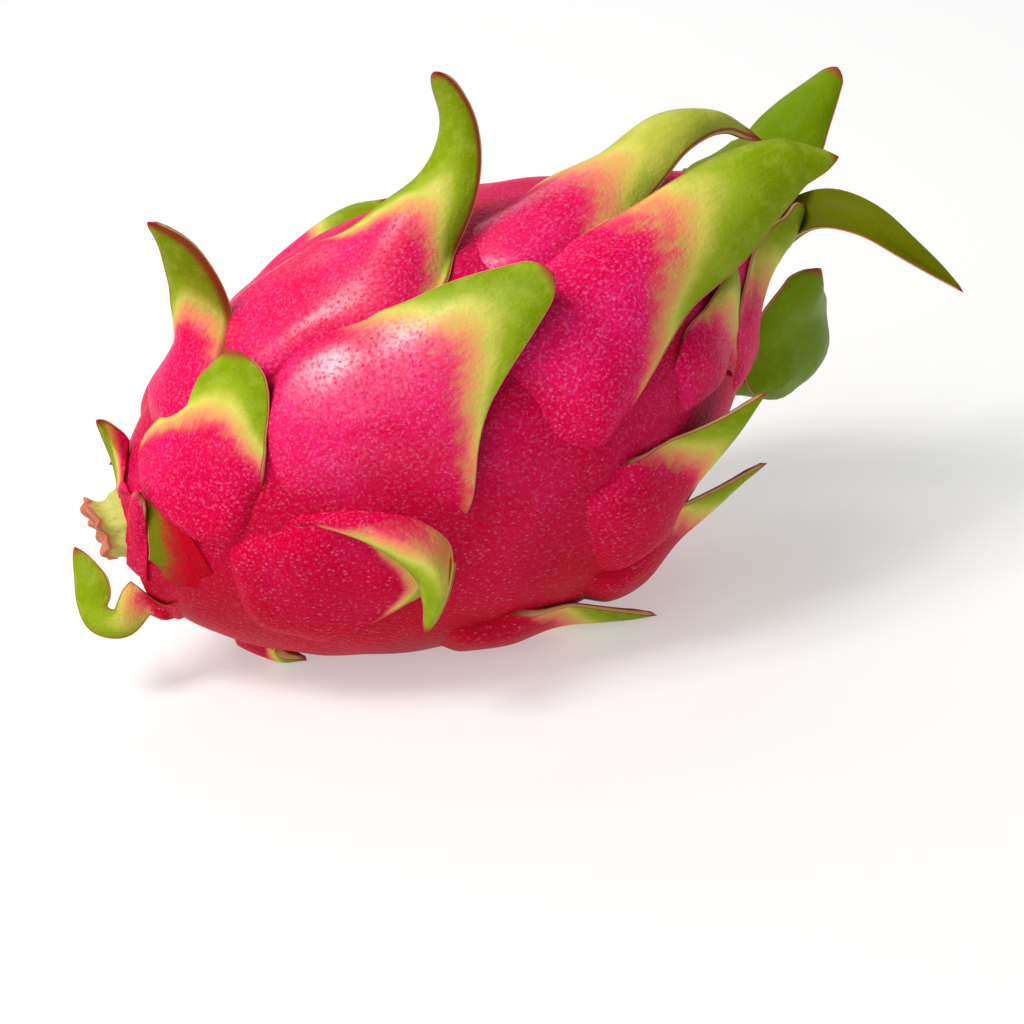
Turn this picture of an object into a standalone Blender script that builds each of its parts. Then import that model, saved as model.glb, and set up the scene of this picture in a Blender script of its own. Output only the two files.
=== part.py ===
"""Dragon fruit lying on its side: one rind body, its leafy scales, a stem stub and a flower scar.

Local frame of the fruit, in millimetres: +Z runs along the fruit from the stem end to the crown,
-Y faces the front and -X faces up. A place on the rind is given as (along, around, above): mm from
the stem end, degrees round the fruit (0 at the front, 90 on top) and mm above the rind's surface.
Beyond the crown end the rind has no radius left, so there "above" counts from the fruit's axis.
"""
import math
from dataclasses import dataclass

import bmesh
import bpy
import numpy as np
from mathutils import Vector

MM = 0.001

# Rind body
BODY_LENGTH = 146.0
BODY_RADIUS = 43.5
WIDEST_AT = 74.0
STEM_SHAPE = (1.9, 1.75)          # exponents of the two halves of the profile
CROWN_SHAPE = (2.15, 1.15)
BEND = 14.0                       # the crown leans this far up and back
BEND_FROM = 85.0
BEND_SIDE = 115.0
STEM_SEAT_AT = 2.0                # the rind stops here and the stub sits on it
CROWN_RIM_AT = 139.5
CROWN_DIMPLE_RADIUS = 7.6
CROWN_DIMPLE_FLOOR = 137.5
PROFILE_STEPS = 18
TURN_STEPS = 48

# How the fruit lies
TILT = math.radians(12.0)         # crown end raised
REST_AT = 60.7                    # world X from the stem end to the middle of the flat spot
REST_HEIGHT = 27.2                # height of the stem end's axis above the table
TABLE_CLEARANCE = 0.4             # scales stay this far above the table
BARE_HEIGHT = 3.0                 # rind closer to the table than this carries no scale

# Stem stub and flower scar
STUB_RADIUS = 6.6
STUB_LENGTH = 8.0
SCAR_RADIUS = 7.2
SCAR_HEIGHT = 4.0
SEAT_GAP = 0.3                    # between pieces that touch

# Scales
SCALE_SEAT_GAP = 0.5              # under a scale's plate, whose flat faces dip towards the rind
PLATE_RIM = 1.6                   # height of a plate's edge above the rind
BLADE_THICKNESS = 2.0
MARGIN_THICKNESS = 1.1
CELL_GAP = 0.8                    # half of the bare groove between two plates
CLEAR_HEIGHT = 5.0                # a blade higher than this passes over its neighbours' plates
ROWS = 9
COLUMNS = 5


@dataclass
class Scale:
    """One leafy scale: a plate that hugs the rind, then a blade that leaves it."""

    midrib: list                  # places on the rind from the base to the tip
    width: float
    hug: float = 0.5              # share of the length that lies on the rind
    wide: float = 0.38            # where it is widest, as a share of the length
    base: float = 0.6             # width of the base as a share of the width
    taper: float = 1.2            # over 1 gives a slender, hollow-sided blade
    blunt: float = 0.2            # roundness of the tip
    cup: float = 45.0             # half angle of the blade's cross-section
    twist: float = 0.0            # turn of the blade about its midrib
    lean: float = 0.0             # shifts width to one side


STEM_ROW = [
    Scale([(6, -3, 0), (9, 14, 5), (9, 30, 11), (7, 43, 15)], 13, hug=0.1, base=0.8, cup=60),
    Scale([(6, 78, 0), (8, 81, 5), (7, 84, 10), (4, 86, 16)], 13, hug=0.1, base=0.8, cup=60),
    Scale([(8, 152, 0), (10, 158, 4), (9, 162, 10), (5, 164, 15)], 13, hug=0.1, base=0.8, cup=60),
    Scale([(8, 222, 0), (4, 222, 10), (-4, 215, 22), (-9, 192, 16)], 14, hug=0.1, base=0.8, cup=60),
    Scale([(8, 313, 0), (10, 309, 4), (10, 305, 9), (7, 302, 13)], 13, hug=0.1, base=0.8, cup=60),
]
LOWER_ROW = [
    Scale([(11, 20, 0), (18, 39, 2), (24, 52, 4), (30, 59, 6), (33, 64, 8)], 30,
          hug=0.6, wide=0.35, base=0.8, taper=1.0, blunt=0.9, cup=30),
    Scale([(13, 87, 0), (20, 85, 3), (28, 83, 4), (32, 85, 10), (31, 85, 20), (28, 85, 30)], 26,
          hug=0.45, taper=1.3, cup=50),
    Scale([(12, 132, 0), (20, 138, 3), (30, 143, 4), (37, 147, 9), (43, 149, 14), (48, 151, 19)], 26,
          hug=0.45, taper=1.3, cup=50),
    Scale([(14, 178, 0), (24, 181, 3), (36, 183, 4), (46, 184, 10), (54, 185, 17)], 26, taper=1.3),
    Scale([(14, 222, 0), (24, 224, 3), (36, 226, 4), (48, 228, 9), (57, 230, 14)], 26, taper=1.3),
    Scale([(13, 284, 0), (17, 285, 2), (21, 286, 3), (25, 287, 3)], 13, hug=0.8, blunt=0.4),
    Scale([(13, -8, 0), (24, -11, 3), (35, -19, 4), (44, -28, 7), (56, -36, 12)], 28,
          wide=0.42, taper=1.0, cup=30),
]
MIDDLE_ROW = [
    Scale([(26, 27, 0), (45, 32, 3), (62, 37, 5), (76, 40, 8), (90, 42, 12)], 54,
          hug=0.5, taper=1.1, base=0.55, cup=28, lean=-0.3),
    Scale([(36, 65, 0), (50, 63, 3), (65, 62, 5), (76, 65, 8), (83, 69, 13), (86, 72, 21),
           (83, 76, 32)], 44, hug=0.5, taper=1.6, base=0.7, cup=60, lean=0.15),
    Scale([(29, 8, 0), (40, 4, 3), (49, -4, 7), (50, -15, 10), (45, -26, 11)], 13,
          hug=0.4, wide=0.6, base=0.35, taper=1.0, cup=40),
    Scale([(34, 131, 0), (48, 132, 1), (60, 132, 2), (71, 131, 3), (80, 130, 4)], 32, blunt=0.4),
    Scale([(38, 166, 0), (50, 168, 3), (62, 170, 4), (76, 171, 9), (88, 172, 16)], 32),
    Scale([(39, 200, 0), (51, 203, 3), (64, 206, 4), (78, 209, 9), (90, 211, 17)], 32),
    Scale([(41, 238, 0), (53, 239, 2), (64, 240, 3), (76, 242, 7), (87, 244, 12)], 28),
    Scale([(46, 305, 0), (58, 304, 2), (70, 303, 3), (82, 302, 7), (92, 301, 12)], 26),
]
UPPER_ROW = [
    Scale([(71, 27, 0), (86, 32, 3), (102, 36, 6), (119, 38, 13.5), (136, 36, 25.5), (155, 29, 32)], 44,
          hug=0.42, taper=1.15, cup=50, lean=-0.15),
    Scale([(75, 66, 0), (91, 64, 3), (106, 66, 5), (120, 70, 10), (133, 70, 18), (141, 69, 20)],
          34, hug=0.4, taper=1.0, blunt=0.4, cup=60, lean=0.1),
    Scale([(78, 126, 0), (90, 126, 2), (102, 126, 2), (113, 127, 2), (123, 128, 3.5)], 30, blunt=0.3),
    Scale([(72, 150, 0), (86, 152, 3), (100, 154, 4), (113, 156, 8), (126, 158, 14), (137, 160, 19)],
          34, hug=0.45),
    Scale([(74, 188, 0), (88, 191, 3), (102, 193, 5), (116, 195, 12), (130, 196, 20), (141, 197, 27)],
          34, hug=0.45),
    Scale([(74, 226, 0), (88, 227, 3), (102, 228, 5), (116, 229, 11), (130, 230, 19), (140, 230, 25)],
          34, hug=0.45),
    Scale([(88, 266, 0), (99, 266, 3), (109, 266, 5), (119, 266, 10), (129, 266, 16)], 28, hug=0.45),
    Scale([(76, 306, 0), (87, 307, 3), (100, 307, 4), (113, 308, 9), (124, 309, 16)], 32, hug=0.45),
    Scale([(78, -27, 0), (91, -26, 3), (103, -24, 4), (114, -20, 9), (124, -16, 15)], 32, hug=0.45),
]
CROWN_ROW = [
    Scale([(108, -18, 0), (113, -7, 2), (117, 3, 3), (121, 11, 4), (125, 17, 5), (130.5, 24, 7)], 26,
          hug=0.4, wide=0.4, base=0.9, taper=1.0, blunt=0.4, cup=60),
    Scale([(120, -48, 0), (127, -30, 2), (130, -13, 3), (134, -9, 5), (140, -14, 7), (146.5, -20, 11)],
          24, hug=0.4, wide=0.5, base=0.9, taper=1.0, blunt=0.3, cup=70),
    Scale([(130, 36, 0), (138, 22, 8), (144, 10, 12), (148, 10, 16), (151, 24, 12)], 10,
          hug=0.1, wide=0.5, base=0.9, taper=1.0, blunt=0.4, cup=60),
    Scale([(134, -95, 0), (144, -90, 8), (152, -62, 7), (157, -26, 9), (162, -25, 15), (167, -34, 23),
           (175, -45, 34)], 14, hug=0.05, wide=0.35, base=0.9, taper=0.9, blunt=0.3, cup=60),
    Scale([(132, 99, 0), (153, 94, 12.5), (162, 96, 16.5), (170, 98, 20.5)], 22,
          hug=0.05, wide=0.55, base=0.5, taper=1.0, blunt=0.3, cup=50, twist=45),
    Scale([(124, -97, 0), (134, -89, 13), (141, -82, 22), (146, -77, 24.5), (150, -73, 20.5),
           (154, -69, 15)], 24, hug=0.1, wide=0.65, base=0.7, taper=0.8, blunt=0.4, cup=35, twist=-80),
    Scale([(118, 150, 0), (130, 150, 4), (140, 150, 12), (148, 150, 16), (155, 150, 14)], 20,
          hug=0.3, base=0.8),
    Scale([(112, 182, 0), (124, 182, 4), (136, 182, 11), (146, 182, 22), (156, 182, 24)], 22,
          hug=0.3, base=0.8),
    Scale([(114, 216, 0), (126, 216, 4), (137, 216, 11), (147, 216, 22), (157, 216, 26)], 20,
          hug=0.3, base=0.8),
]
SCALE_ROWS = {
    "stem_scale": STEM_ROW,
    "lower_scale": LOWER_ROW,
    "middle_scale": MIDDLE_ROW,
    "upper_scale": UPPER_ROW,
    "crown_scale": CROWN_ROW,
}

RIND_PINK = (0.76, 0.02, 0.13)
SCALE_GREEN = (0.25, 0.35, 0.02)
STUB_TAN = (0.55, 0.36, 0.14)
SCAR_BROWN = (0.20, 0.11, 0.05)


# ---------------------------------------------------------------- rind surface
def rind_radius(along):
    """Radius of the rind at a distance from the stem end, zero beyond either end."""
    if along <= 0.0 or along >= BODY_LENGTH:
        return 0.0
    if along < WIDEST_AT:
        power, root = STEM_SHAPE
        share = (WIDEST_AT - along) / WIDEST_AT
    else:
        power, root = CROWN_SHAPE
        share = (along - WIDEST_AT) / (BODY_LENGTH - WIDEST_AT)
    return BODY_RADIUS * (1.0 - share ** power) ** (1.0 / root)


def outward(around):
    """Unit vector from the axis towards an angle round the fruit."""
    angle = math.radians(around)
    return np.array([-math.sin(angle), -math.cos(angle), 0.0])


def place(along, around, above):
    """Point at a place on or over the rind."""
    return outward(around) * (rind_radius(along) + above) + np.array([0.0, 0.0, along])


def nearest_on_rind(point):
    """Nearest rind point to a point near it, with the rind's outward normal there."""
    reach = math.hypot(point[0], point[1])
    away = np.array([point[0], point[1], 0.0]) / max(reach, 1e-6)
    along = min(max(point[2], 1.5), BODY_LENGTH - 1.5)
    for _ in range(12):
        slope = (rind_radius(along + 0.05) - rind_radius(along - 0.05)) / 0.1
        step = (point[2] - along) + (reach - rind_radius(along)) * slope
        along = min(max(along + step / (1.0 + slope * slope), 1.0), BODY_LENGTH - 1.0)
    slope = (rind_radius(along + 0.05) - rind_radius(along - 0.05)) / 0.1
    normal = away - np.array([0.0, 0.0, slope])
    surface = away * rind_radius(along) + np.array([0.0, 0.0, along])
    return surface, normal / np.linalg.norm(normal)


def bent(point):
    """The point after the crown's lean: each cross-section moves across the axis as a whole."""
    share = max(min(point[2], BODY_LENGTH) - BEND_FROM, 0.0) / (BODY_LENGTH - BEND_FROM)
    return np.array(point) + outward(BEND_SIDE) * BEND * share ** 1.6


def table_height(point):
    """Height of a local point above the table, in mm."""
    return REST_HEIGHT + point[2] * math.sin(TILT) - point[0] * math.cos(TILT)


def ease(low, high, value):
    """Smooth step from 0 at low to 1 at high."""
    share = min(max((value - low) / (high - low), 0.0), 1.0)
    return share * share * (3.0 - 2.0 * share)


def unit(vector):
    return vector / np.linalg.norm(vector)


# ---------------------------------------------------------------- scale shape
def midrib_points(scale):
    """Evenly spaced points of a smooth curve through the scale's stations."""
    stations = [place(*station) for station in scale.midrib]
    stations.insert(0, 2.0 * stations[0] - stations[1])
    stations.append(2.0 * stations[-1] - stations[-2])
    spans = [np.linalg.norm(b - a) for a, b in zip(stations, stations[1:])]
    length = sum(spans[1:-1])
    points = []
    for row in range(ROWS):
        rest = length * row / (ROWS - 1)
        span = 1
        while span < len(spans) - 2 and rest > spans[span]:
            rest -= spans[span]
            span += 1
        u = min(rest / spans[span], 1.0)
        before, start, end, after = stations[span - 1:span + 3]
        here, left, right = spans[span], spans[span - 1], spans[span + 1]
        start_pull = here * ((start - before) / left * here + (end - start) / here * left) / (left + here)
        end_pull = here * ((end - start) / here * right + (after - end) / right * here) / (here + right)
        points.append((2 * u ** 3 - 3 * u ** 2 + 1) * start + (u ** 3 - 2 * u ** 2 + u) * start_pull
                      + (3 * u ** 2 - 2 * u ** 3) * end + (u ** 3 - u ** 2) * end_pull)
    return np.array(points)


def half_width(scale, share):
    """Half width at a share of the length, from the base to a rounded tip."""
    if share < scale.wide:
        width = scale.base + (1.0 - scale.base) * math.sin(0.5 * math.pi * share / scale.wide)
    else:
        left = (1.0 - share) / (1.0 - scale.wide)
        width = scale.blunt * math.sqrt(left) + (1.0 - scale.blunt) * left ** scale.taper
    return 0.5 * scale.width * max(width, 0.09)


def midrib_frames(scale, points):
    """Tangent, normal and sideways vectors along the midrib."""
    tangents = [unit(t) for t in np.gradient(points, axis=0)]
    normal = nearest_on_rind(points[0])[1]
    frames = []
    for row, tangent in enumerate(tangents):
        free = ease(0.7 * scale.hug, 1.3 * scale.hug, row / (ROWS - 1))
        normal = unit(normal - tangent * normal.dot(tangent))
        shown = normal
        if free < 1.0 and points[row][2] < BODY_LENGTH - 3.0:
            rind_normal = nearest_on_rind(points[row])[1]
            rind_normal = unit(rind_normal - tangent * rind_normal.dot(tangent))
            shown = unit(rind_normal * (1.0 - free) + normal * free)
            if free < 0.5:
                normal = shown
        turn = math.radians(scale.twist) * free
        side = np.cross(shown, tangent)
        side, shown = (side * math.cos(turn) + shown * math.sin(turn),
                       shown * math.cos(turn) - side * math.sin(turn))
        frames.append((tangent, shown, side, free))
    return frames


def cross_point(centre, frame, half, share, cup):
    """Point on a blade's arched cross-section, share -1 to 1 from edge to edge."""
    _, normal, side, _ = frame
    angle = max(cup, 0.001)
    return (centre + side * half / angle * math.sin(share * angle)
            - normal * half / angle * (1.0 - math.cos(share * angle)))


def row_cup(scale, centre, half, free):
    """Half angle of a cross-section: the rind's own curve on a plate, the cup on a blade."""
    around_rind = math.hypot(centre[0], centre[1])
    return half / max(around_rind, 8.0) * (1.0 - free) + math.radians(scale.cup) * free


def plate_line(scale):
    """Rind points under the part of a midrib that lies low, with the scale's width beside each."""
    points = midrib_points(scale)
    first = 1 if scale.hug > 0.4 else 0
    last = max(2, round(1.1 * scale.hug * (ROWS - 1)) + 1)
    return np.array([[*nearest_on_rind(point)[0], scale.width] for point in points[first:last]])


def fits_cell(edge, own, width, others):
    """Whether a scale may reach this far: within its own cell, or high over the rind."""
    foot = nearest_on_rind(edge)[0]
    if edge[2] > BODY_LENGTH or np.linalg.norm(edge - foot) > CLEAR_HEIGHT:
        return True
    to_own = (np.linalg.norm(own - foot, axis=1).min() + CELL_GAP) / width
    to_other = ((np.linalg.norm(others[:, :3] - foot, axis=1) - CELL_GAP) / others[:, 3]).min()
    return to_own < to_other and table_height(bent(foot)) > BARE_HEIGHT


def side_widths(scale, sign, points, frames, own, others):
    """Width to one side at each row, cut back to the scale's own cell and smoothed."""
    limits = []
    for row, (centre, frame) in enumerate(zip(points, frames)):
        half = half_width(scale, row / (ROWS - 1)) * (1.0 + sign * scale.lean)
        while half > 1.5:
            edge = cross_point(centre, frame, half, sign, row_cup(scale, centre, half, frame[3]))
            if fits_cell(edge, own, scale.width, others):
                break
            half -= 0.5
        limits.append(half)
    padded = [limits[0], *limits, limits[-1]]
    blurred = [(before + 2.0 * here + after) / 4.0
               for before, here, after in zip(padded, padded[1:], padded[2:])]
    return [min(pair) for pair in zip(limits, blurred)]


def scale_surfaces(scale, plates, name):
    """Outer and inner grids of points of one scale, base row first."""
    points = midrib_points(scale)
    frames = midrib_frames(scale, points)
    others = np.concatenate([line for key, line in plates.items() if key != name])
    own = np.array([nearest_on_rind(point)[0] for point in points])
    left = side_widths(scale, -1.0, points, frames, own, others)
    right = side_widths(scale, 1.0, points, frames, own, others)
    outer, inner = [], []
    for row, (centre, frame) in enumerate(zip(points, frames)):
        share = row / (ROWS - 1)
        free = frame[3]
        rib = max(np.linalg.norm(centre - nearest_on_rind(centre)[0]), 0.0)
        top, under = [], []
        for column in range(COLUMNS):
            across = -1.0 + 2.0 * column / (COLUMNS - 1)
            half = left[row] if across < 0.0 else right[row]
            point = cross_point(centre, frame, half, across, row_cup(scale, centre, half, free))
            foot, normal = nearest_on_rind(point)
            if point[2] < BODY_LENGTH - 2.0:
                seated = foot + normal * (PLATE_RIM + rib * (1.0 - 0.65 * across * across))
                point = seated * (1.0 - free) + point * free
                rise = (point - foot).dot(normal)
                if rise < PLATE_RIM:
                    point = point + normal * (PLATE_RIM - rise)
            thick = BLADE_THICKNESS + (MARGIN_THICKNESS - BLADE_THICKNESS) * max(across * across, share ** 4)
            below = point - frame[1] * thick
            if point[2] < BODY_LENGTH - 2.0:
                on_rind = foot + normal * SCALE_SEAT_GAP
                below = on_rind * (1.0 - free) + below * free
                rise = (below - foot).dot(normal)
                if rise < SCALE_SEAT_GAP:
                    below = below + normal * (SCALE_SEAT_GAP - rise)
            top.append(above_table(bent(point), TABLE_CLEARANCE))
            under.append(above_table(bent(below), TABLE_CLEARANCE + MARGIN_THICKNESS))
        outer.append(top)
        inner.append(under)
    return outer, inner


def above_table(point, clearance):
    """The point, lifted straight up where it would reach the table."""
    lack = clearance - table_height(point)
    if lack <= 0.0:
        return point
    return point + lack * np.array([-math.cos(TILT), 0.0, math.sin(TILT)])


# ---------------------------------------------------------------- Blender objects
def clear_scene():
    for item in list(bpy.data.objects):
        bpy.data.objects.remove(item)


def new_collection(name):
    collection = bpy.data.collections.new(name)
    bpy.context.scene.collection.children.link(collection)
    return collection


def new_material(name, colour, roughness):
    material = bpy.data.materials.new(name)
    material.use_nodes = True
    shader = material.node_tree.nodes["Principled BSDF"]
    shader.inputs["Base Color"].default_value = (*colour, 1.0)
    shader.inputs["Roughness"].default_value = roughness
    shader.inputs["Metallic"].default_value = 0.0
    return material


def new_object(name, mesh, collection, parent, colour, roughness):
    """Object with its own material, smooth-shaded up to its sharp edges."""
    item = bpy.data.objects.new(name, mesh)
    collection.objects.link(item)
    item.parent = parent
    mesh.materials.append(new_material(name, colour, roughness))
    mesh.shade_smooth()
    return item


def add_fruit_axis(collection):
    """Empty that carries the whole fruit, tilted on its flat spot at the world origin."""
    axis = bpy.data.objects.new("fruit_axis", None)
    collection.objects.link(axis)
    axis.location = (-REST_AT * MM, 0.0, REST_HEIGHT * MM)
    axis.rotation_euler = (0.0, 0.5 * math.pi - TILT, 0.0)
    return axis


def turned_object(name, profile, steps, collection, parent, colour, roughness):
    """Profile of (radius, along) points, crown end first, turned about the axis and then bent."""
    outline = bpy.data.meshes.new(name + "_outline")
    shape = bmesh.new()
    corners = [shape.verts.new((radius * MM, 0.0, along * MM)) for radius, along in profile]
    for start, end in zip(corners, corners[1:]):
        shape.edges.new((start, end))
    shape.to_mesh(outline)
    shape.free()
    turner = bpy.data.objects.new(name + "_outline", outline)
    collection.objects.link(turner)
    screw = turner.modifiers.new("turn", "SCREW")
    screw.axis = "Z"
    screw.steps = steps
    screw.render_steps = steps
    screw.use_merge_vertices = True
    screw.merge_threshold = 0.00001
    screw.use_smooth_shade = True
    graph = bpy.context.evaluated_depsgraph_get()
    mesh = bpy.data.meshes.new_from_object(turner.evaluated_get(graph))
    mesh.name = name
    bpy.data.objects.remove(turner)
    for vert in mesh.vertices:
        vert.co = Vector(bent(vert.co / MM)) * MM
    return new_object(name, mesh, collection, parent, colour, roughness)


def add_body(collection, cutters, parent):
    """Rind and flesh in one solid, with the crown's dimple and the flat spot it rests on."""
    profile = [(0.0, CROWN_DIMPLE_FLOOR), (CROWN_DIMPLE_RADIUS, CROWN_DIMPLE_FLOOR),
               (CROWN_DIMPLE_RADIUS + 0.4, CROWN_RIM_AT)]
    for step in range(PROFILE_STEPS + 1):
        turn = math.pi * step / PROFILE_STEPS
        middle = 0.5 * (CROWN_RIM_AT + STEM_SEAT_AT)
        along = middle + (CROWN_RIM_AT - middle) * math.cos(turn)
        profile.append((rind_radius(along), along))
    profile.append((0.0, STEM_SEAT_AT))
    body = turned_object("fruit_body", profile, TURN_STEPS, collection, parent, RIND_PINK, 0.35)

    mesh = bpy.data.meshes.new("table_cut")
    shape = bmesh.new()
    bmesh.ops.create_cube(shape, size=4.0 * BODY_LENGTH * MM)
    bmesh.ops.translate(shape, verts=shape.verts, vec=(0.0, 0.0, -2.0 * BODY_LENGTH * MM))
    shape.to_mesh(mesh)
    shape.free()
    cutter = bpy.data.objects.new("table_cut", mesh)
    cutters.objects.link(cutter)
    cutter.hide_render = True
    cutter.display_type = "WIRE"
    cut = body.modifiers.new("flat_spot", "BOOLEAN")
    cut.operation = "DIFFERENCE"
    cut.object = cutter


def add_stub(collection, parent):
    """Cut stem left on the fruit, a little waisted, with a sunken cut face."""
    seat = STEM_SEAT_AT - SEAT_GAP
    profile = [(0.0, seat), (STUB_RADIUS, seat), (0.86 * STUB_RADIUS, seat - 0.4 * STUB_LENGTH),
               (0.95 * STUB_RADIUS, seat - STUB_LENGTH), (0.5 * STUB_RADIUS, seat - 0.85 * STUB_LENGTH),
               (0.0, seat - 0.85 * STUB_LENGTH)]
    turned_object("stem_stub", profile, 16, collection, parent, STUB_TAN, 0.8)


def add_scar(collection, parent):
    """Dried remains of the flower in the crown's dimple."""
    seat = CROWN_DIMPLE_FLOOR + SEAT_GAP
    profile = [(0.0, seat + 0.6 * SCAR_HEIGHT), (0.45 * SCAR_RADIUS, seat + 0.6 * SCAR_HEIGHT),
               (0.7 * SCAR_RADIUS, seat + SCAR_HEIGHT), (SCAR_RADIUS, seat + 0.7 * SCAR_HEIGHT),
               (SCAR_RADIUS, seat), (0.0, seat)]
    turned_object("flower_scar", profile, 16, collection, parent, SCAR_BROWN, 0.9)


def grid_side(shape, surface, flip):
    """A grid primitive bent onto the points of one side of a scale."""
    made = bmesh.ops.create_grid(shape, x_segments=COLUMNS - 1, y_segments=ROWS - 1, size=1.0)
    verts = made["verts"]
    for index, vert in enumerate(verts):
        row, column = divmod(index, COLUMNS)
        vert.co = Vector(surface[row][column]) * MM
    faces = list({face for vert in verts for face in vert.link_faces})
    if flip:
        bmesh.ops.reverse_faces(shape, faces=faces)
    return [edge for edge in {edge for face in faces for edge in face.edges} if edge.is_boundary]


def add_scale(name, scale, plates, collection, parent):
    outer, inner = scale_surfaces(scale, plates, name)
    shape = bmesh.new()
    rim = grid_side(shape, outer, flip=True)
    rim += grid_side(shape, inner, flip=False)
    bmesh.ops.bridge_loops(shape, edges=rim)
    bmesh.ops.recalc_face_normals(shape, faces=shape.faces)
    bmesh.ops.triangulate(shape, faces=shape.faces)
    mesh = bpy.data.meshes.new(name)
    shape.to_mesh(mesh)
    shape.free()
    new_object(name, mesh, collection, parent, SCALE_GREEN, 0.4)


def main():
    clear_scene()
    fruit = new_collection("dragon_fruit")
    cutters = new_collection("cutters")
    axis = add_fruit_axis(fruit)
    add_body(fruit, cutters, axis)
    add_stub(fruit, axis)
    add_scar(fruit, axis)

    scales = {f"{row}_{index:02d}": scale
              for row, members in SCALE_ROWS.items() for index, scale in enumerate(members, 1)}
    plates = {}
    for name, scale in scales.items():
        plates[name] = plate_line(scale)
    for name, scale in scales.items():
        add_scale(name, scale, plates, fruit, axis)


main()
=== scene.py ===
import math

import bmesh
import bpy
import numpy as np
from mathutils import Matrix, Vector


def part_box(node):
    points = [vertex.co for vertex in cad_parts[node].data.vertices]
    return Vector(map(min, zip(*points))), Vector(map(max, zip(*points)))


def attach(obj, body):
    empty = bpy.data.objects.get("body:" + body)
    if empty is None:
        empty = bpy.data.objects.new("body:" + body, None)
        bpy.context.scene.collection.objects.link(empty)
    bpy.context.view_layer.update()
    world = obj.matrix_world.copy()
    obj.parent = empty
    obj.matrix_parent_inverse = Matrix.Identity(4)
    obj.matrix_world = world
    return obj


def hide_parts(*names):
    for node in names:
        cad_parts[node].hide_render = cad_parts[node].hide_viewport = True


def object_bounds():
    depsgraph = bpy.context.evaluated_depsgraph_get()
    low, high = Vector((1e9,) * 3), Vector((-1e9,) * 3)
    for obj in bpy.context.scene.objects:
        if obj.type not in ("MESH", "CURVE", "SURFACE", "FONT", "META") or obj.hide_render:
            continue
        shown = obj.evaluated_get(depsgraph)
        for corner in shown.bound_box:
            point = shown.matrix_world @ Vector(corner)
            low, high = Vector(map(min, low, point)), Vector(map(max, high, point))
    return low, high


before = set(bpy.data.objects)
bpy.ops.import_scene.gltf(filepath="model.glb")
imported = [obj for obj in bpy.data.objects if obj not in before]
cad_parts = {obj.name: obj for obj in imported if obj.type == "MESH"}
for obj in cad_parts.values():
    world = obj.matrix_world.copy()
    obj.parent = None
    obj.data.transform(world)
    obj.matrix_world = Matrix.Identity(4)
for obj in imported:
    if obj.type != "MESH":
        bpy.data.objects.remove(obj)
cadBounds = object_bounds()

# A whole dragon fruit lying on its side. Sizes are in millimetres in the fruit's own frame:
# +Z runs along the fruit from stem to crown, -Y faces the front and -X faces up.
# A place on the rind is (mm from the stem end, degrees round the fruit, mm above the rind),
# with 0 degrees at the front and 90 on top.
mm = 0.001

fruit = {
    "length": 146.0,
    "radius": 43.5,
    "widestAt": 74.0,
    "stemCurve": (1.9, 1.75),
    "crownCurve": (2.15, 1.15),
    "lean": 14.0,                 # the crown end bends up and back by this much
    "leanFrom": 85.0,
    "leanSide": 115.0,
    "leanPower": 1.6,
    "tilt": math.radians(12.0),   # crown end raised
    "skin": 0.8,                  # the soft skin swells this far over the plain solid
    "dent": (107, 116, 24, 3.2),  # along, around, reach and depth of a dent on the back
}

body = {
    "rings": 110,
    "turns": 128,
    "from": 2.0,                  # the rind's first and last ring
    "to": 139.5,
    "dimple": 7.6,                # radius of the dimple in the crown end
    "dimpleFloor": 137.5,
    "dimpleRim": (0.3, 0.6),      # its wall ends this far outside the floor and below the rind's last ring
    "onSurface": 0.6,             # nearer than this to the rind a point takes part in the swelling
    "swellSize": 30.0,
    "swellHeight": 0.3,
}


# The rind's surface. These functions work on whole arrays of points at once.

upright = np.array([0.0, 0.0, 1.0])


def rindRadius(along):
    stemPower, stemRoot = fruit["stemCurve"]
    crownPower, crownRoot = fruit["crownCurve"]
    toStem = np.clip((fruit["widestAt"] - along) / fruit["widestAt"], 0.0, 1.0)
    toCrown = np.clip((along - fruit["widestAt"]) / (fruit["length"] - fruit["widestAt"]), 0.0, 1.0)
    return (fruit["radius"] * (1.0 - toStem ** stemPower) ** (1.0 / stemRoot)
            * (1.0 - toCrown ** crownPower) ** (1.0 / crownRoot))


def rindSlope(along):
    nearby = 0.05
    return (rindRadius(along + nearby) - rindRadius(along - nearby)) / (2.0 * nearby)


def outward(around):
    angle = math.radians(around)
    return np.array([-math.sin(angle), -math.cos(angle), 0.0])


def place(along, around, above):
    return outward(around) * (float(rindRadius(np.float64(along))) + above) + upright * along


def norms(vectors):
    return np.linalg.norm(vectors, axis=-1)


def unit(vectors):
    return vectors / np.maximum(np.linalg.norm(vectors, axis=-1, keepdims=True), 1e-9)


def dot(a, b):
    return np.sum(a * b, axis=-1, keepdims=True)


def ease(low, high, value):
    share = np.clip((value - low) / (high - low), 0.0, 1.0)
    return share * share * (3.0 - 2.0 * share)


def mixed(a, b, share):
    return a * (1.0 - share) + b * share


def nearestOnRind(points):
    # nearest rind point and the outward normal there, by Newton steps along the profile
    reach = np.hypot(points[..., 0], points[..., 1])
    away = points * np.array([1.0, 1.0, 0.0]) / np.maximum(reach, 1e-6)[..., None]
    along = np.clip(points[..., 2], 1.5, fruit["length"] - 1.5)
    for _ in range(12):
        slope = rindSlope(along)
        step = points[..., 2] - along + (reach - rindRadius(along)) * slope
        along = np.clip(along + step / (1.0 + slope * slope), 1.0, fruit["length"] - 1.0)
    normal = unit(away - upright * rindSlope(along)[..., None])
    return away * rindRadius(along)[..., None] + upright * along[..., None], normal


def dentDepth(feet):
    along, around, reach, depth = fruit["dent"]
    return depth * np.exp(-(norms(feet - place(along, around, 0.0)) / reach) ** 2)


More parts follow.
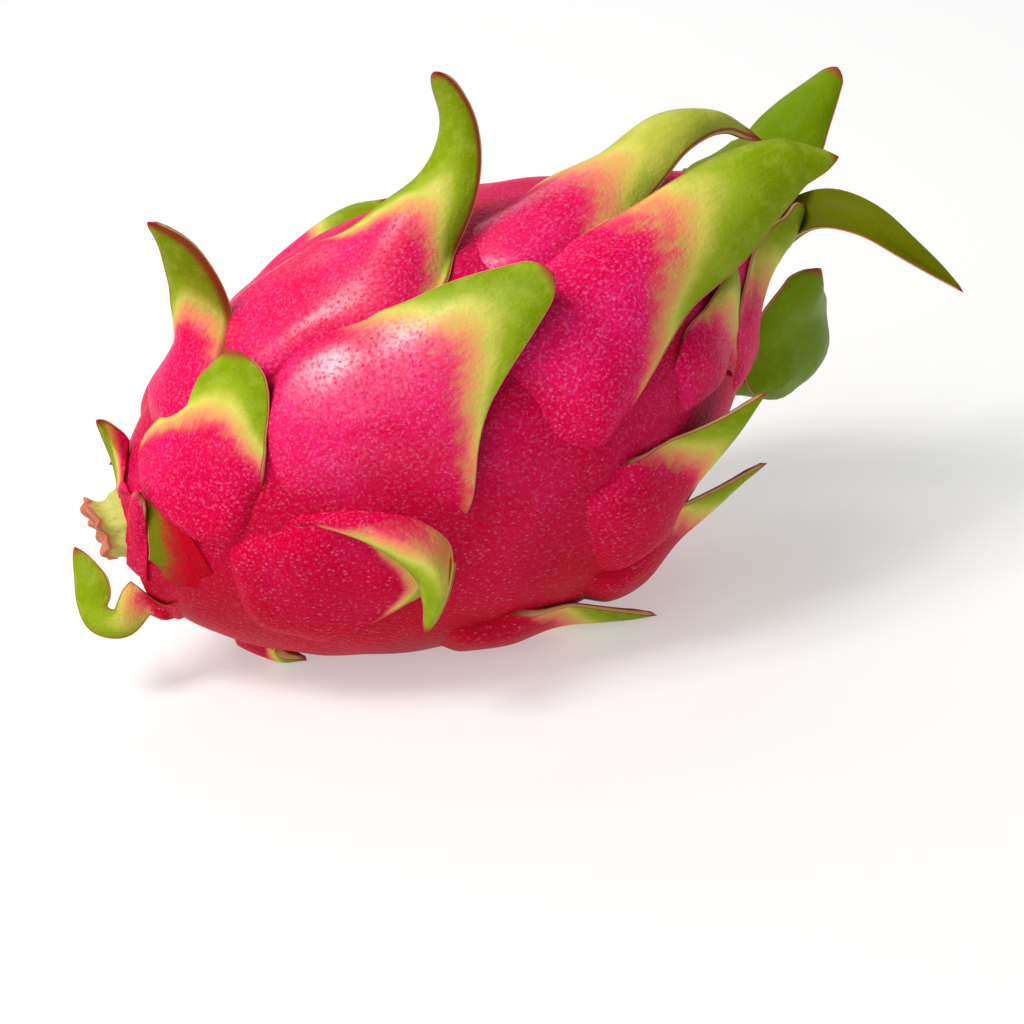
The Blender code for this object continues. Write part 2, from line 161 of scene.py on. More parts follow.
def bent(points):
    share = np.clip(points[..., 2:] - fruit["leanFrom"], 0.0, fruit["length"] - fruit["leanFrom"])
    share = share / (fruit["length"] - fruit["leanFrom"])
    return points + outward(fruit["leanSide"]) * fruit["lean"] * share ** fruit["leanPower"]


def toWorld(points, stemEnd):
    # lays the fruit down: turns its axis from upright to the tilt and moves it to its place
    turn = 0.5 * math.pi - fruit["tilt"]
    x, y, z = points[..., 0], points[..., 1], points[..., 2]
    laid = np.stack([math.cos(turn) * x + math.sin(turn) * z, y,
                     math.cos(turn) * z - math.sin(turn) * x], axis=-1)
    return laid * mm + stemEnd


def stemEndFromFrame():
    # the stem end's place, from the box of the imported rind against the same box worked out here
    along = np.linspace(body["from"], body["to"], 400)
    rings = [bent(outward(around) * rindRadius(along)[:, None] + upright * along[:, None])
             for around in range(0, 360, 3)]
    local = toWorld(np.concatenate(rings), np.zeros(3))
    low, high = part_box("fruit_body")
    sideways = 0.5 * (low.y + high.y) - 0.5 * (local[:, 1].min() + local[:, 1].max())
    return np.array([high.x - local[:, 0].max(), sideways, high.z - local[:, 2].max()])


stemEnd = stemEndFromFrame()
print("stem end at", [round(float(value), 4) for value in stemEnd])


def heightOverTable(points):
    return toWorld(points, stemEnd)[..., 2] / mm


def liftedOffTable(points, clearance):
    # lifts straight up whatever would reach the table
    lack = np.maximum(clearance - heightOverTable(points), 0.0)[..., None]
    return points + lack * np.array([-math.cos(fruit["tilt"]), 0.0, math.sin(fruit["tilt"])])


def ripples(points, size, seed):
    # slow uneven swelling of grown skin, between -1 and 1
    total = 0.0
    for index in range(4):
        angle = seed * 1.7 + index * 2.1
        direction = np.array([math.cos(angle), math.sin(angle * 1.3), math.sin(angle)])
        total = total + np.sin(points @ direction * (6.28 / size) * (1.0 + 0.37 * index) + angle * 5.0)
    return total / 4.0


# A scale is a plate that hugs the rind, then a blade that leaves it.

scaleShape = {
    "rows": 61,
    "columns": 33,
    "rowCrowd": 1.3,              # over 1 crowds the rows at the tip
    "columnCrowd": 1.6,           # and the columns at the margins
    "outlineSteps": 201,          # how finely an outline is read
    "plateStations": 9,           # places along a midrib at which a scale claims its room
    "widthRows": 25,              # rows at which the room beside a scale is measured
    "trialWidths": (1.0, 0.04, 25),  # shares of the wanted width tried there, and how many
    "widthSlack": 0.8,            # the evened-out room may pass the measured room by this much
    # rounds of smoothing
    "midribRounds": 3,
    "frameRounds": 4,
    "outlineRounds": 60,
    "roomRounds": 3,
    "widthRounds": 6,
    # thickness along the midrib and at the margins, which round off over the last bit
    "blade": 2.0,
    "margin": 0.9,
    "marginRound": 0.7,
    # shares of the whole length between which something happens
    "emerging": (-0.02, 0.16),    # the plate comes out of the rind
    "thickening": (-0.01, 0.03),  # it gets its thickness at the base, and loses it at the tip
    "thinning": (1.0, 0.97),
    # and shares of the part that hugs the rind
    "freeing": (0.7, 1.3),        # the blade stops following the rind
    "lifting": (0.35, 0.95),      # the margins rise out of the skin
    "baring": (0.5, 1.15),        # the inner side comes out of the rind
    # heights over the rind
    "baseDepth": -1.0,            # where the base starts
    "plateEdge": -0.6,            # a plate's sunken edge, under the swollen skin
    "sunk": -1.5,                 # the inner side of a plate
    # lengths and shares of single features
    "plateBase": 1.05,            # a plate is this wide at its base, to fill the room between others
    "shoulder": 7.0,              # and rolls down over this much to the creases
    "overlap": 2.6,               # plates run this far into each other, which makes the creases
    "clearOver": 5.0,             # a blade higher than this passes over its neighbours
    "bareUnder": 2.0,             # no scale where the rind is closer to the table
    "overTable": (0.2, 0.4),      # how far the outer and the inner side stay off the table
    "leastRadius": 8.0,           # near the axis a plate curves no tighter than this
    "edgeShare": 0.35,            # a margin rises over the rind by this share of the midrib's height
    "rindEnds": (3.0, 2.0),       # frames and plates leave the rind this far before the crown end
    "swellSize": 26.0,            # slow swellings of the skin, and their height
    "swellHeight": 0.35,
    "weld": 0.02,
}

# what a scale has when its own line doesn't say otherwise
usualScale = {
    "hug": 0.5,                   # share of the length that lies on the rind
    "wide": 0.38,                 # and at which it is widest
    "base": 0.6,                  # width of the base, 1 for as wide as anywhere
    "taper": 1.2,                 # over 1 gives a slender blade
    "blunt": 0.2,                 # roundness of the tip
    "cup": 45.0,                  # degrees from the midrib to a margin round the blade's hollow
    "twist": 0.0,                 # degrees by which the blade turns about its midrib
    "outline": None,              # or (share, half width before, half width after) in its stead
    "tipRound": 0.06,             # share of the length over which an outlined tip rounds off
    "fold": 0.0,                  # sharpness of a keel along the midrib
    "rooted": None,               # or (side, share): this side stays on the rind up to there
    "rise": 1.6,                  # the plate's surface over the rind, beyond its stations
    "redTip": 2.6,                # mm of the tip that turn red
    "redRim": (0.5, 0.5),         # and of the margins
    "inner": 0.0,                 # 1 where the side that shows is the inner one
    "wax": 0.2,                   # shine of the wax on top, 1 or more where none is rubbed off
    "greenest": 9.0,              # 0.8 or so keeps the green pale
    "greening": (0.5, 0.8),       # shares of the length where the pink ends and the green is full
    "tongue": 0.15,               # the green runs this much further down along the margins
    "greenLean": 0.0,             # and more so on one side
}

scales = {
    # round the stem
    "stem_scale_01": dict(
        midrib=[(7.8, -15, 0), (8.6, 10, 0.6), (8.6, 29, 1.5), (8, 43, 2.6), (7.5, 50, 3.6)],
        width=13, hug=0.4, cup=50, tipRound=0.1,
        outline=[(0, 8.6, 7), (0.35, 7.5, 6.5), (0.65, 5.6, 5), (0.85, 3.6, 2.6), (1, 0.8, 0.8)],
        greening=(0.5, 1.1), tongue=0.0, greenLean=0.9, inner=1.0),
    "stem_scale_02": dict(
        midrib=[(4.8, 73, 0), (6, 80, 2), (6.5, 90, 5.4), (6, 90, 10), (5.3, 90, 15)],
        width=6, hug=0.1, cup=40, twist=55, fold=0.5, tipRound=0.1,
        outline=[(0, 3.2, 3), (0.35, 3.4, 2.8), (0.65, 2.8, 2), (0.85, 1.8, 1.2), (1, 0.5, 0.5)],
        greening=(0.35, 0.8), greenLean=0.5),
    "stem_scale_03": dict(
        midrib=[(8, 152, 0), (10, 158, 4), (9, 162, 10), (5, 164, 15)],
        width=13, hug=0.1, base=0.8, cup=60),
    "stem_scale_04": dict(
        midrib=[(8, 315, 0), (0, 315, 9), (-6, 315, 12), (-9.8, 315, 9.5), (-10.2, 315, 5),
                (-9.2, 315, 0.2), (-8, 135, 6)],
        width=8, hug=0.1, cup=40, twist=65,
        outline=[(0, 5, 5), (0.3, 4.2, 4.4), (0.4, 3, 4.2), (0.5, 2.6, 3.7), (0.6, 3.6, 3.2),
                 (0.7, 5.4, 2.8), (0.8, 5.4, 2.4), (0.92, 2.8, 1.6), (1, 0.8, 0.8)],
        greening=(0.2, 0.6)),
    "stem_scale_05": dict(
        midrib=[(1.3, -17, 1.5), (2.2, 26, 4), (3.4, 42, 6), (5.4, 48, 7.5), (6.8, 49, 8.5)],
        width=6, hug=0.1, cup=50, tipRound=0.15,
        outline=[(0, 3, 3), (0.4, 3.3, 3.3), (0.7, 2.9, 2.9), (0.9, 1.9, 1.9), (1, 0.8, 0.8)],
        greening=(0.9, 1.3)),
    # lower row
    "lower_scale_01": dict(
        midrib=[(14.5, 6, 0), (15.5, 24, 1.5), (18, 38, 2.5), (24, 52, 4), (30, 59, 6), (33, 64, 8)],
        width=30, hug=0.6, cup=30, tipRound=0.1,
        outline=[(0, 5.5, 5), (0.12, 8.5, 6), (0.21, 11, 12), (0.3, 11.5, 19), (0.41, 12, 21),
                 (0.5, 12, 19), (0.6, 11.8, 15), (0.67, 11, 12.6), (0.77, 9.8, 10.4), (0.86, 8, 8.4),
                 (0.93, 6, 6.4), (1, 3.5, 4)],
        greening=(0.58, 0.84), tongue=0.2, greenLean=0.03, wax=0.5),
    "lower_scale_02": dict(
        midrib=[(13, 87, 0), (20, 86, 3), (26, 87, 5), (30, 88, 10), (30.5, 86, 20), (27.8, 85, 31)],
        width=26, hug=0.45, cup=40, twist=60, tipRound=0.03,
        outline=[(0, 20, 13), (0.2, 20, 13), (0.35, 15, 12), (0.43, 11, 9), (0.5, 9, 5.4), (0.6, 6.9, 4.8),
                 (0.7, 5.5, 4.6), (0.8, 4.5, 3.7), (0.9, 2.9, 1.9), (1, 0.6, 0.6)],
        greening=(0.44, 0.68), redRim=(2.4, 0.5)),
    "lower_scale_03": dict(
        midrib=[(12, 132, 0), (20, 138, 3), (28, 142, 3), (34, 146, 6), (39, 149, 10)],
        width=26, hug=0.45, taper=1.3, cup=50),
    "lower_scale_04": dict(
        midrib=[(14, 178, 0), (24, 181, 3), (36, 183, 4), (46, 184, 10), (54, 185, 17)],
        width=26, taper=1.3),
    "lower_scale_05": dict(
        midrib=[(14, 222, 0), (24, 224, 3), (36, 226, 4), (48, 228, 9), (57, 230, 14)],
        width=26, taper=1.3),
    "lower_scale_06": dict(
        midrib=[(13, 284, 0), (17, 285, 2), (21, 286, 3), (25, 287, 3)], width=13, hug=0.8, blunt=0.4),
    "lower_scale_07": dict(
        midrib=[(14, -4, 0), (22, -6, 1), (30, -9, 1.5), (38, -12, 2), (45, -12, 3), (50.5, -11, 5)],
        width=28, hug=0.55, cup=30,
        outline=[(0, 12, 8), (0.2, 17, 12), (0.4, 18, 14), (0.55, 14, 14), (0.7, 9, 12), (0.85, 5.6, 7),
                 (1, 1.6, 1.6)], greening=(0.8, 0.94)),
    # middle row
    "middle_scale_01": dict(
        midrib=[(26, 27, 0), (45, 32, 3), (62, 37, 5), (76, 40, 8), (90, 42, 12)],
        width=54, cup=28, tipRound=0.05, rooted=(-1, 0.4),
        outline=[(0, 7, 2), (0.1, 10, 10), (0.2, 16, 19), (0.3, 24, 21.5), (0.38, 28.5, 20.4),
                 (0.44, 27, 18.6), (0.5, 22.5, 16.6), (0.56, 18, 14.8), (0.65, 13.2, 12.6),
                 (0.75, 10.3, 11), (0.85, 7.6, 8.6), (0.93, 5, 6.4), (1, 2.5, 4.4)],
        greening=(0.56, 0.88), tongue=0.2, redRim=(0.3, 0.3), wax=1.5),
    "middle_scale_02": dict(
        midrib=[(23, 72, 0), (36, 66, 1.5), (50, 64, 3), (63, 65, 5), (73, 70, 8), (79.2, 72, 10),
                (83, 73.5, 13.5), (85.5, 75, 17), (87, 76.5, 22), (86.7, 78, 27), (86, 78.5, 31)],
        width=44, cup=55, twist=20,
        outline=[(0, 10, 20), (0.155, 8, 24), (0.324, 7.5, 25.5), (0.41, 9.6, 22), (0.49, 13, 17),
                 (0.535, 14.3, 15), (0.58, 13.4, 12.5), (0.66, 10.2, 9.6), (0.747, 7, 7.4), (0.83, 5, 5.8),
                 (0.9, 3.6, 4.4), (0.96, 2.8, 3.4), (1, 2.1, 2.8)],
        greening=(0.58, 0.77), tongue=0.2, redRim=(1.4, 0.5), wax=0.8),
    "middle_scale_03": dict(
        midrib=[(26, 15, 0), (31.4, 14, 1.4), (36, 11.5, 3.4), (42.6, 6, 6.3), (47.2, 0, 8.5),
                (49.5, -6.5, 10), (48, -14, 10.5), (44.2, -20, 11)],
        width=13, hug=0.15, cup=50, tipRound=0.03, rooted=(1, 0.86),
        outline=[(0, 0.6, 0.8), (0.15, 1.4, 1.5), (0.3, 2.8, 2.6), (0.45, 4.2, 4), (0.6, 5.6, 5.2),
                 (0.75, 5.8, 5.8), (0.87, 4.2, 4), (1, 0.6, 0.6)],
        greening=(0.34, 0.92), tongue=0.1, greenLean=-0.3),
    "middle_scale_04": dict(
        midrib=[(34, 131, 0), (48, 132, 2), (58, 131, 4), (66, 131, 6.4), (71, 131, 6.4), (78, 130, 5)],
        width=32, hug=0.6, blunt=0.4, rooted=(-1, 1.1), greening=(0.56, 0.74)),
    "middle_scale_05": dict(
        midrib=[(38, 166, 0), (50, 168, 3), (62, 170, 4), (76, 171, 9), (88, 172, 16)], width=32),
    "middle_scale_06": dict(
        midrib=[(39, 200, 0), (51, 203, 3), (64, 206, 4), (78, 209, 9), (90, 211, 17)], width=32),
    "middle_scale_07": dict(
        midrib=[(41, 238, 0), (53, 239, 2), (64, 240, 3), (76, 242, 7), (87, 244, 12)], width=28),
    "middle_scale_08": dict(
        midrib=[(46, 305, 0), (58, 304, 2), (70, 303, 3), (82, 302, 7), (92, 301, 12)], width=26),
    # upper row
    "upper_scale_01": dict(
        midrib=[(71, 27, 0), (86, 32, 3), (102, 36, 6), (119, 38, 13.5), (136, 36, 25.5), (155, 29, 32)],
        width=44, hug=0.42, cup=50, tipRound=0.04,
        outline=[(0, 12, 10), (0.05, 20, 14), (0.12, 25.5, 16), (0.2, 24, 15), (0.3, 20.5, 13.5),
                 (0.4, 16.5, 12.3), (0.5, 14.3, 11.5), (0.6, 14, 10.8), (0.7, 12.8, 10.2), (0.8, 9.5, 8.6),
                 (0.9, 6, 5.5), (1, 1.4, 1.4)], greening=(0.42, 0.72), tongue=0.14, greenLean=-0.08),
    "upper_scale_02": dict(
        midrib=[(75, 66, 0), (91, 64, 2), (106, 66, 5.2), (118, 68, 10.8), (128, 69, 17.8),
                (135.5, 69, 21), (141.4, 69, 21.8), (145.2, 69, 20.9), (148.4, 69, 17.3)],
        width=34, hug=0.4, cup=55, tipRound=0.05,
        outline=[(0, 4, 3), (0.06, 10, 6), (0.14, 14, 8), (0.22, 15, 9), (0.39, 12, 10.5),
                 (0.54, 9.5, 10.5), (0.62, 8, 9), (0.68, 6.6, 7.2), (0.76, 4.6, 4.8), (0.84, 3, 3),
                 (0.92, 2, 2), (1, 0.8, 0.8)],
        greening=(0.3, 0.62), greenest=0.74, redTip=10.0, redRim=(0.9, 0.5), wax=0.6),
    "upper_scale_03": dict(
        midrib=[(78, 126, 0), (90, 126, 0.3), (102, 126, 0), (113, 127, 0), (123, 128, 1)],
        width=30, blunt=0.3, rise=0.3),
    "upper_scale_04": dict(
        midrib=[(72, 150, 0), (86, 152, 1), (100, 154, 2), (113, 156, 6), (126, 158, 12), (137, 160, 17)],
        width=34, hug=0.45),
    "upper_scale_05": dict(
        midrib=[(74, 188, 0), (88, 191, 3), (102, 193, 5), (116, 195, 12), (130, 196, 20), (141, 197, 27)],
        width=34, hug=0.45),
    "upper_scale_06": dict(
        midrib=[(74, 226, 0), (88, 227, 3), (102, 228, 5), (116, 229, 11), (130, 230, 19), (140, 230, 25)],
        width=34, hug=0.45),
    "upper_scale_07": dict(
        midrib=[(88, 266, 0), (99, 266, 3), (109, 266, 5), (119, 266, 10), (129, 266, 16)],
        width=28, hug=0.45),
    "upper_scale_08": dict(
        midrib=[(76, 306, 0), (87, 307, 3), (100, 307, 4), (113, 308, 9), (124, 309, 16)],
        width=32, hug=0.45),
    "upper_scale_09": dict(
        midrib=[(78, -27, 0), (91, -26, 3), (103, -24, 4), (114, -20, 9), (124, -16, 15)],
        width=32, hug=0.45),
    # round the crown
    "crown_scale_01": dict(
        midrib=[(111.3, -15, 0), (115.1, -2, 2), (119.4, 3, 3), (123.2, 8, 4), (126.2, 13, 5.5),
                (128.5, 21, 7)],
        width=18, hug=0.4, cup=35, tipRound=0.08,
        outline=[(0, 10, 10), (0.3, 12, 10), (0.46, 12.2, 8.6), (0.62, 10.2, 5.4), (0.8, 7.2, 3.2),
                 (0.92, 4.4, 2.2), (1, 1.4, 1.2)], greening=(0.5, 0.95), tongue=0.1, wax=0.6),
    "crown_scale_02": dict(
        midrib=[(123, -50, 0), (131, -32, 2.6), (136.5, -30, 3.6), (142.5, -30, 7), (147.5, -30, 11.4),
                (151.5, -28, 7.8), (154.5, -25, 4)],
        width=22, hug=0.3, cup=80, twist=12, tipRound=0.1,
        outline=[(0, 11, 11), (0.3, 12, 13), (0.5, 12.5, 11), (0.7, 12, 8), (0.85, 9, 5.5), (1, 5, 3.4)],
        greening=(0.34, 0.74), greenest=0.86, tongue=0.1),
    "crown_scale_03": dict(
        midrib=[(122, 48, 0), (130, 50, 3), (136, 52, 6), (140, 54, 10)],
        width=14, hug=0.2, base=0.9, taper=1.0, blunt=0.4, cup=60, greening=(-0.5, 0.2)),
    "crown_scale_04": dict(
        midrib=[(134, -95, 0), (144, -90, 8), (152, -62, 7), (157, -26, 9), (162, -25, 15), (167, -34, 23),
                (175, -45, 34)],
        width=14, hug=0.05, wide=0.35, base=0.9, taper=0.9, blunt=0.3, cup=60, greening=(-4.0, -3.0)),
    "crown_scale_05": dict(
        midrib=[(132, 99, 0), (153, 94, 12.5), (162, 96, 16.5), (171, 98, 21.2)],
        width=22, hug=0.05, cup=50, twist=45, tipRound=0.05,
        outline=[(0, 4, 2), (0.2, 7, 3), (0.4, 10, 6.4), (0.5, 10.5, 9), (0.6, 9.8, 9.9), (0.7, 7.6, 8.8),
                 (0.8, 5.8, 7), (0.9, 4, 4.8), (1, 2.2, 2.6)],
        greening=(-4.0, -3.0), greenest=2.8, wax=0.0),
    "crown_scale_06": dict(
        midrib=[(124, -97, 0), (133, -92, 15), (140.9, -86, 28.6), (144.2, -82, 23.2), (149.5, -74, 20.5),
                (153.5, -70, 16)],
        width=24, hug=0.1, cup=35, twist=-80, tipRound=0.08,
        outline=[(0, 9, 4), (0.3, 17, 4), (0.42, 25, 6), (0.46, 24.6, 7), (0.5, 21.4, 8.6),
                 (0.55, 19.8, 10.8), (0.6, 19.5, 12.6), (0.7, 20, 13), (0.78, 16.8, 12.2),
                 (0.85, 12.6, 9.8), (0.92, 8, 6.6), (1, 3.6, 3.4)],
        greening=(-4.0, -3.0), greenest=2.7, wax=0.0),
    "crown_scale_07": dict(
        midrib=[(118, 150, 0), (130, 150, 3), (139, 150, 7), (146, 150, 9), (152, 150, 7)],
        width=20, hug=0.3, base=0.8),
    "crown_scale_08": dict(
        midrib=[(112, 182, 0), (124, 182, 4), (136, 182, 11), (146, 182, 22), (156, 182, 24)],
        width=22, hug=0.3, base=0.8),
    "crown_scale_09": dict(
        midrib=[(114, 216, 0), (126, 216, 4), (137, 216, 11), (147, 216, 22), (157, 216, 26)],
        width=20, hug=0.3, base=0.8),
}
scales = {name: {**usualScale, **scale} for name, scale in scales.items()}


def midribPoints(scale, shares):
    # smooth curve through the scale's stations, at shares of its length
    stations = [place(*station) for station in scale["midrib"]]
    stations.insert(0, 2.0 * stations[0] - stations[1])
    stations.append(2.0 * stations[-1] - stations[-2])
    spans = [np.linalg.norm(end - start) for start, end in zip(stations, stations[1:])]
    length = sum(spans[1:-1])
    points = []
    for share in shares:
        rest = length * share
        span = 1
        while span < len(spans) - 2 and rest > spans[span]:
            rest -= spans[span]
            span += 1
        u = min(rest / spans[span], 1.0)
        before, start, end, after = stations[span - 1:span + 3]
        here, left, right = spans[span], spans[span - 1], spans[span + 1]
        startPull = here * ((start - before) / left * here + (end - start) / here * left) / (left + here)
        endPull = here * ((end - start) / here * right + (after - end) / right * here) / (here + right)
        points.append((2 * u ** 3 - 3 * u ** 2 + 1) * start + (u ** 3 - 2 * u ** 2 + u) * startPull
                      + (3 * u ** 2 - 2 * u ** 3) * end + (u ** 3 - u ** 2) * endPull)
    return smoothed(np.array(points), scaleShape["midribRounds"])


def smoothed(rows, rounds):
    # evens out a run of values or points, its two ends held
    for _ in range(rounds):
        inner = 0.25 * rows[:-2] + 0.5 * rows[1:-1] + 0.25 * rows[2:]
        rows = np.concatenate([rows[:1], inner, rows[-1:]])
    return rows


def halfWidths(scale, shares, sign):
    # half width to one side, from the base to a rounded tip
    if scale["outline"]:
        marks = np.array(scale["outline"])
        fine = np.linspace(0.0, 1.0, scaleShape["outlineSteps"])
        widths = smoothed(np.interp(fine, marks[:, 0], marks[:, 1 if sign < 0.0 else 2]),
                          scaleShape["outlineRounds"])
        rounding = np.clip((shares - 1.0 + scale["tipRound"]) / scale["tipRound"], 0.0, 1.0)
        return np.interp(shares, fine, widths) * np.sqrt(1.0 - rounding ** 2)
    base = max(scale["base"], scaleShape["plateBase"] if scale["hug"] > 0.3 else 0.0)
    rising = base + (1.0 - base) * np.sin(0.5 * math.pi * np.minimum(shares / scale["wide"], 1.0))
    left = np.clip((1.0 - shares) / (1.0 - scale["wide"]), 0.0, 1.0)
    falling = scale["blunt"] * np.sqrt(left) + (1.0 - scale["blunt"]) * left ** scale["taper"]
    return 0.5 * scale["width"] * np.where(shares < scale["wide"], rising, falling)


def easeOverHug(scale, change, shares):
    # how far a change has come at each row, between its shares of the part that hugs the rind
    start, end = scaleShape[change]
    return ease(start * scale["hug"], end * scale["hug"], shares)


def midribFrames(scale, points, shares):
    # outer normal and sideways vector at each row, and how free the blade is there
    freeShares = easeOverHug(scale, "freeing", shares)
    rindNormals = nearestOnRind(points)[1]
    normal = rindNormals[0]
    normals, sides = [], []
    for row, tangent in enumerate(unit(np.gradient(points, axis=0))):
        free = freeShares[row]
        normal = unit(normal - tangent * normal.dot(tangent))
        shown = normal
        if free < 1.0 and points[row][2] < fruit["length"] - scaleShape["rindEnds"][0]:
            rindNormal = unit(rindNormals[row] - tangent * rindNormals[row].dot(tangent))
            shown = unit(rindNormal * (1.0 - free) + normal * free)
            if free < 0.5:
                normal = shown
        turn = math.radians(scale["twist"]) * free
        side = np.cross(shown, tangent)
        sides.append(side * math.cos(turn) + shown * math.sin(turn))
        normals.append(shown * math.cos(turn) - side * math.sin(turn))
    return np.array(normals), np.array(sides), freeShares


def crossPoints(centres, normals, sides, half, across, angle):
    # points on arched cross-sections, across from -1 to 1
    angle = np.maximum(angle, 0.001)[..., None]
    half = half[..., None]
    across = across[..., None]
    return (centres + sides * half / angle * np.sin(across * angle)
            - normals * half / angle * (1.0 - np.cos(across * angle)))


def cupAngles(scale, centres, half, free):
    # half angle of a cross-section: the rind's own curve on a plate, the cup on a blade
    aroundRind = np.maximum(np.hypot(centres[..., 0], centres[..., 1]), scaleShape["leastRadius"])
    return half / aroundRind * (1.0 - free) + math.radians(scale["cup"]) * free


def plateLine(scale):
    # rind points under the part of a midrib that lies low, with the scale's width beside each
    stations = scaleShape["plateStations"]
    points = midribPoints(scale, np.linspace(0.0, 1.0, stations))
    first = 1 if scale["hug"] > 0.4 else 0
    last = max(2, round(1.1 * scale["hug"] * (stations - 1)) + 1)
    feet = nearestOnRind(points[first:last])[0]
    return np.column_stack([feet, np.full(len(feet), scale["width"])])


def sideWidths(scale, sign, points, frames, shares, own, others):
    # half width to one side at each row, cut back to the scale's own room on the rind
    normals, sides, free = frames
    wanted = halfWidths(scale, shares, sign)
    trial = wanted[:, None] * np.linspace(*scaleShape["trialWidths"])
    angle = cupAngles(scale, points[:, None], trial, free[:, None])
    edges = crossPoints(points[:, None], normals[:, None], sides[:, None], trial,
                        np.full_like(trial, sign), angle)
    feet = nearestOnRind(edges)[0]
    high = (edges[..., 2] > fruit["length"]) | (norms(edges - feet) > scaleShape["clearOver"])
    toOwn = norms(feet[:, :, None] - own).min(axis=-1) - scaleShape["overlap"]
    toOther = norms(feet[:, :, None] - others[:, :3]) + scaleShape["overlap"]
    inside = toOwn / scale["width"] < (toOther / others[:, 3]).min(axis=-1)
    inside &= heightOverTable(bent(feet)) > scaleShape["bareUnder"]
    fits = high | inside
    fits[:, -1] = True
    limits = trial[np.arange(len(trial)), fits.argmax(axis=1)]
    return np.minimum(wanted, np.minimum(smoothed(limits, scaleShape["roomRounds"]),
                                         limits + scaleShape["widthSlack"]))


def rowWidths(name, scale, plates, shares):
    # half widths to both sides at each row, an own outline's as they are, the others' cut back
    if scale["outline"]:
        return [halfWidths(scale, shares, sign) for sign in (-1.0, 1.0)]
    coarse = np.linspace(0.0, 1.0, scaleShape["widthRows"])
    points = midribPoints(scale, coarse)
    frames = midribFrames(scale, points, coarse)
    own = nearestOnRind(points)[0]
    others = np.concatenate([line for key, line in plates.items() if key != name])
    widths = []
    for sign in (-1.0, 1.0):
        limit = sideWidths(scale, sign, points, frames, coarse, own, others)
        ratio = limit / np.maximum(halfWidths(scale, coarse, sign), 1e-6)
        ratio[-1] = ratio[-2]
        ratio = smoothed(np.interp(shares, coarse, ratio), scaleShape["widthRounds"])
        widths.append(halfWidths(scale, shares, sign) * ratio)
    return widths


def outerSurface(scale, shares, points, blade, free, across, marginGap):
    # the free blade let down onto the rind where it hugs, with its margins sunk into the skin
    foot, rindNormal = nearestOnRind(blade)
    rib = norms(points - nearestOnRind(points)[0])[:, None]
    lift = easeOverHug(scale, "lifting", shares)[:, None]
    ribHeight = mixed(scaleShape["baseDepth"], scale["rise"] + rib,
                      ease(*scaleShape["emerging"], shares)[:, None])
    edgeHeight = mixed(scaleShape["plateEdge"], scale["rise"] + scaleShape["edgeShare"] * rib, lift)
    edgeHeight = np.minimum(edgeHeight, ribHeight)
    rolled = (1.0 - np.clip(marginGap / scaleShape["shoulder"], 0.0, 1.0)) ** 2
    height = mixed(ribHeight, edgeHeight, mixed(rolled, across ** 2, lift))
    seated = foot + rindNormal * height[..., None]
    onRind = (blade[..., 2] < fruit["length"] - scaleShape["rindEnds"][1])[..., None]
    outer = np.where(onRind, mixed(seated, blade, free), blade)

    rise = dot(outer - foot, rindNormal)
    least = mixed(scaleShape["plateEdge"], scale["rise"], lift)[..., None]
    outer = np.where(onRind & (rise < least) & (free > 0.0), outer + rindNormal * (least - rise), outer)
    if scale["rooted"]:
        side, until = scale["rooted"]
        held = ease(0.0, 0.95, side * across) * ease(until + 0.15, until - 0.1, shares)[:, None]
        outer = mixed(outer, foot + rindNormal * scaleShape["plateEdge"], held[..., None])
    return outer, foot, rindNormal, onRind, lift


def innerSurface(scale, shares, outer, normals, foot, rindNormal, onRind, across, marginGap):
    # the other side of the blade, thin at the margins and the tip, and inside the rind on a plate
    roundOff = np.clip(marginGap / scaleShape["marginRound"], 0.0, 1.0)
    roundOff = np.sqrt(1.0 - (1.0 - roundOff) ** 2)
    thick = mixed(scaleShape["blade"], scaleShape["margin"],
                  np.maximum(across ** 2, shares[:, None] ** 4)) * roundOff
    for ends in ("thickening", "thinning"):
        thick = thick * ease(*scaleShape[ends], shares)[:, None]
    inner = outer - normals * thick[..., None]
    buried = ((1.0 - easeOverHug(scale, "baring", shares))[:, None] * roundOff)[..., None]
    return np.where(onRind, mixed(inner, foot + rindNormal * scaleShape["sunk"], buried), inner)


def colourFacts(scale, shares, points, half, across, marginGap, lift):
    # what the colours need to know about each point: lengths in mm, the rest as shares
    length = np.concatenate([[0.0], np.cumsum(norms(np.diff(points, axis=0)))])
    pinkTo, greenAt = scale["greening"]
    green = (shares[:, None] + scale["tongue"] * (across ** 2 - 0.15) * ease(0.0, 0.35, shares)[:, None]
             + scale["greenLean"] * across - pinkTo) / (greenAt - pinkTo)
    facts = {
        "green": np.minimum(green, scale["greenest"]),
        "wax": scale["wax"],
        "marginGap": marginGap,
        "rim": marginGap / np.where(across < 0.0, *scale["redRim"]),
        "lift": lift,
        "along": length[:, None],
        "across": across * half,
        "tip": (length[-1] - length)[:, None] / scale["redTip"],
    }
    return {key: np.broadcast_to(value, green.shape) for key, value in facts.items()}


